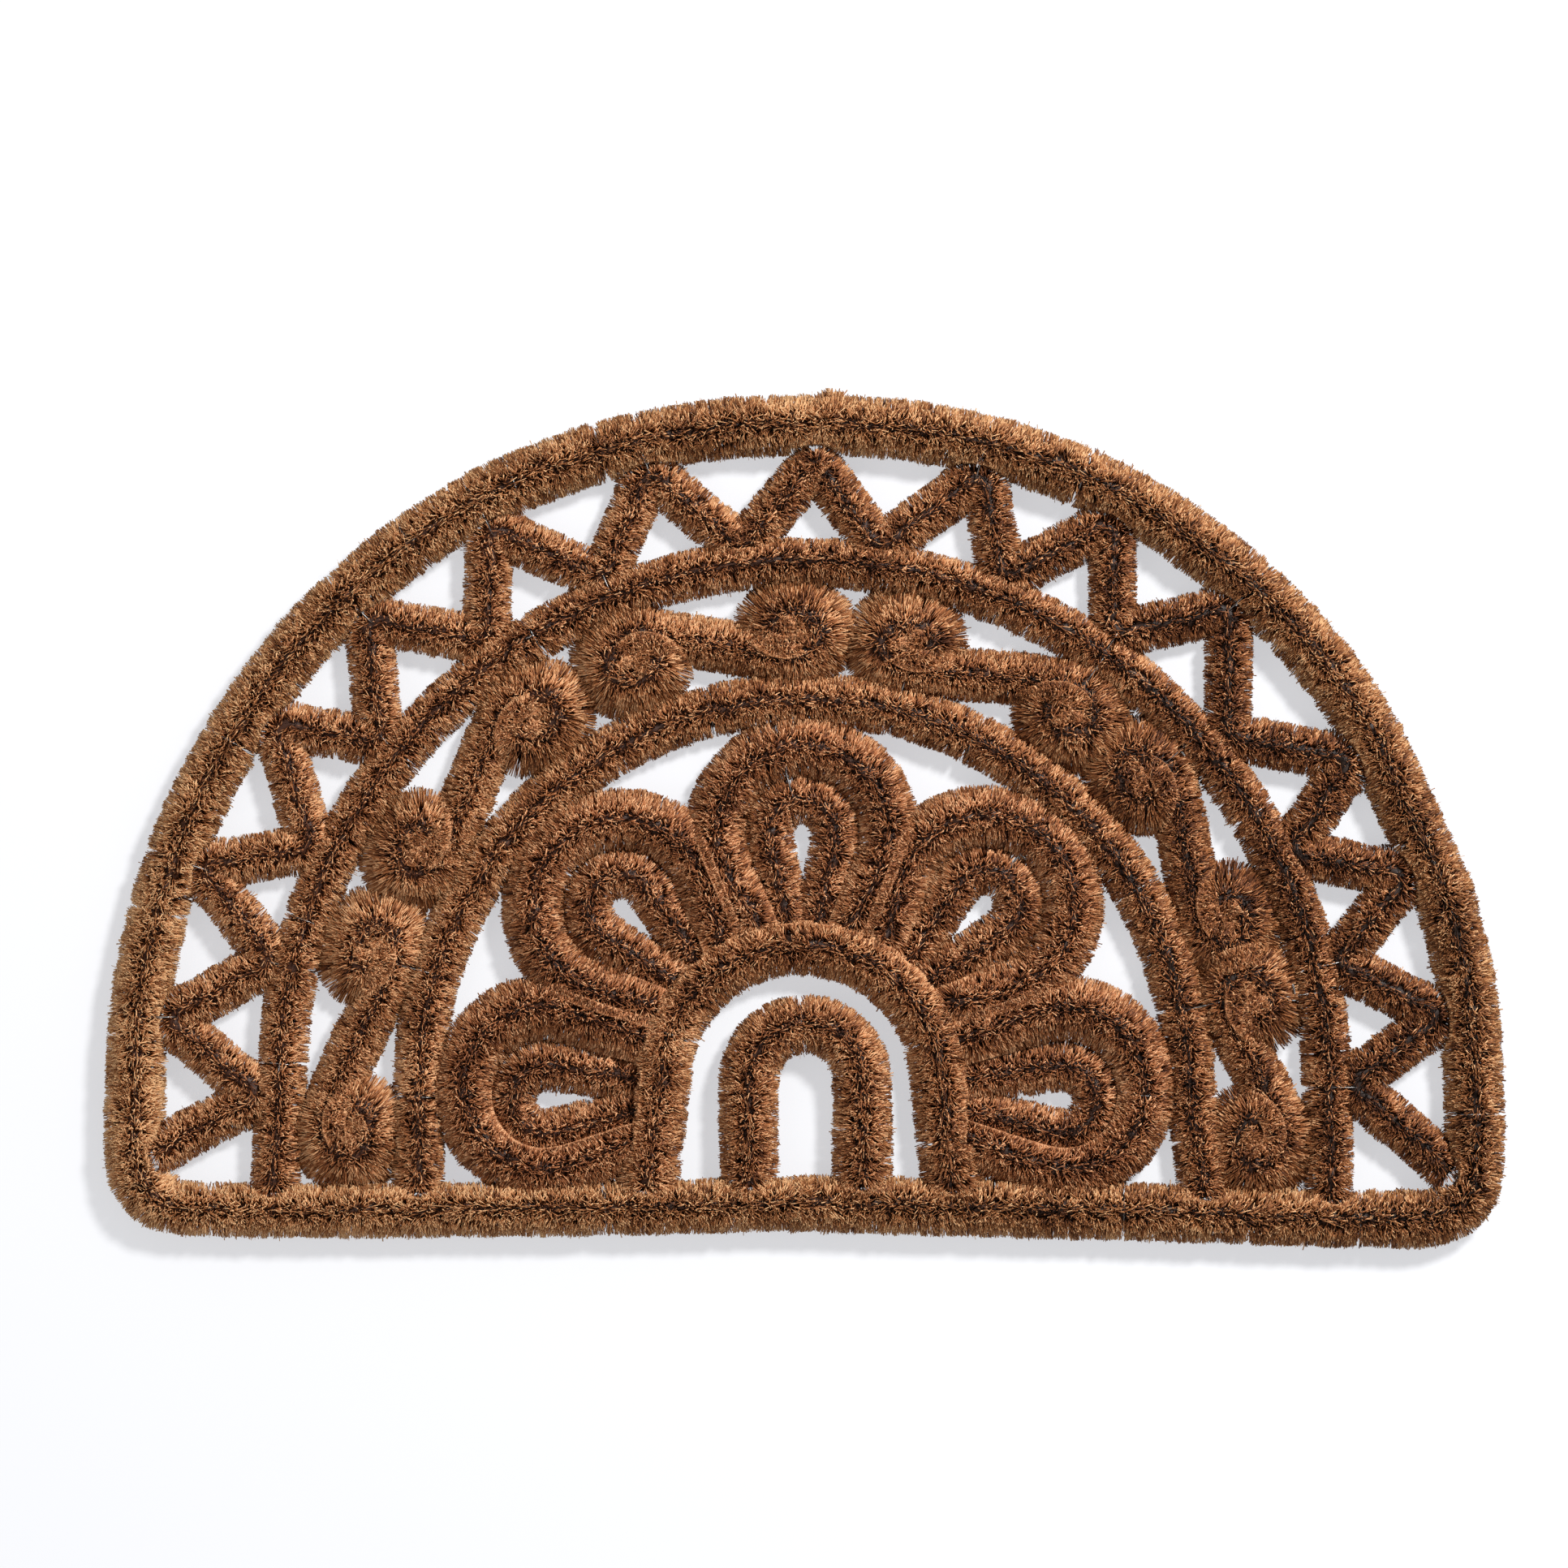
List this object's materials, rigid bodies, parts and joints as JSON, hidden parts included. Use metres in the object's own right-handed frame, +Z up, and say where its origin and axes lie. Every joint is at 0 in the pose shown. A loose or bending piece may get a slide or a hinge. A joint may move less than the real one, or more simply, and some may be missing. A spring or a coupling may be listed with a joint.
{
  "type": "door mat",
  "caption": "Half-moon openwork door mat made of coir brush strips on twisted wire: a rim, arches, a zigzag, scrolls and petals round a small arch.",
  "frame": {"origin": "centre of the mat's bounding box, on the floor plane that its underside rests on", "axes": "+X along the straight bottom edge, +Y from that edge towards the top of the half moon, +Z up out of the floor"},
  "size_m": [0.748, 0.4552, 0.032],
  "materials": {
    "coir_rim": "stiff cut coconut fibre, light brown",
    "coir_pattern": "stiff cut coconut fibre, mid brown",
    "coir_petals": "stiff cut coconut fibre, dark red brown",
    "galvanised_wire": "dull galvanised"
  },
  "bodies": {
    "root": {"doorway_arch_coir": "coir_pattern", "doorway_arch_wire": "galvanised_wire", "inner_arch_coir": "coir_pattern", "inner_arch_wire": "galvanised_wire", "middle_arch_left_coir": "coir_pattern", "middle_arch_left_wire": "galvanised_wire", "middle_arch_right_coir": "coir_pattern", "middle_arch_right_wire": "galvanised_wire", "outer_arch_left_coir": "coir_pattern", "outer_arch_left_wire": "galvanised_wire", "outer_arch_right_coir": "coir_pattern", "outer_arch_right_wire": "galvanised_wire", "petal_1_inner_coir": "coir_petals", "petal_1_inner_wire": "galvanised_wire", "petal_1_outer_coir": "coir_petals", "petal_1_outer_wire": "galvanised_wire", "petal_2_inner_coir": "coir_petals", "petal_2_inner_wire": "galvanised_wire", "petal_2_outer_coir": "coir_petals", "petal_2_outer_wire": "galvanised_wire", "petal_3_inner_coir": "coir_petals", "petal_3_inner_wire": "galvanised_wire", "petal_3_outer_coir": "coir_petals", "petal_3_outer_wire": "galvanised_wire", "petal_4_inner_coir": "coir_petals", "petal_4_inner_wire": "galvanised_wire", "petal_4_outer_coir": "coir_petals", "petal_4_outer_wire": "galvanised_wire", "petal_5_inner_coir": "coir_petals", "petal_5_inner_wire": "galvanised_wire", "petal_5_outer_coir": "coir_petals", "petal_5_outer_wire": "galvanised_wire", "rim_bottom_left_coir": "coir_rim", "rim_bottom_left_wire": "galvanised_wire", "rim_bottom_right_coir": "coir_rim", "rim_bottom_right_wire": "galvanised_wire", "rim_tie_bottom": "galvanised_wire", "rim_tie_left": "galvanised_wire", "rim_tie_right": "galvanised_wire", "rim_tie_top": "galvanised_wire", "rim_top_left_coir": "coir_rim", "rim_top_left_wire": "galvanised_wire", "rim_top_right_coir": "coir_rim", "rim_top_right_wire": "galvanised_wire", "scroll_1_coir": "coir_pattern", "scroll_1_wire": "galvanised_wire", "scroll_2_coir": "coir_pattern", "scroll_2_wire": "galvanised_wire", "scroll_3_coir": "coir_pattern", "scroll_3_wire": "galvanised_wire", "scroll_4_coir": "coir_pattern", "scroll_4_wire": "galvanised_wire", "scroll_5_coir": "coir_pattern", "scroll_5_wire": "galvanised_wire", "scroll_6_coir": "coir_pattern", "scroll_6_wire": "galvanised_wire", "zigzag_left_coir": "coir_pattern", "zigzag_left_wire": "galvanised_wire", "zigzag_right_coir": "coir_pattern", "zigzag_right_wire": "galvanised_wire"}
  },
  "joints": []
}
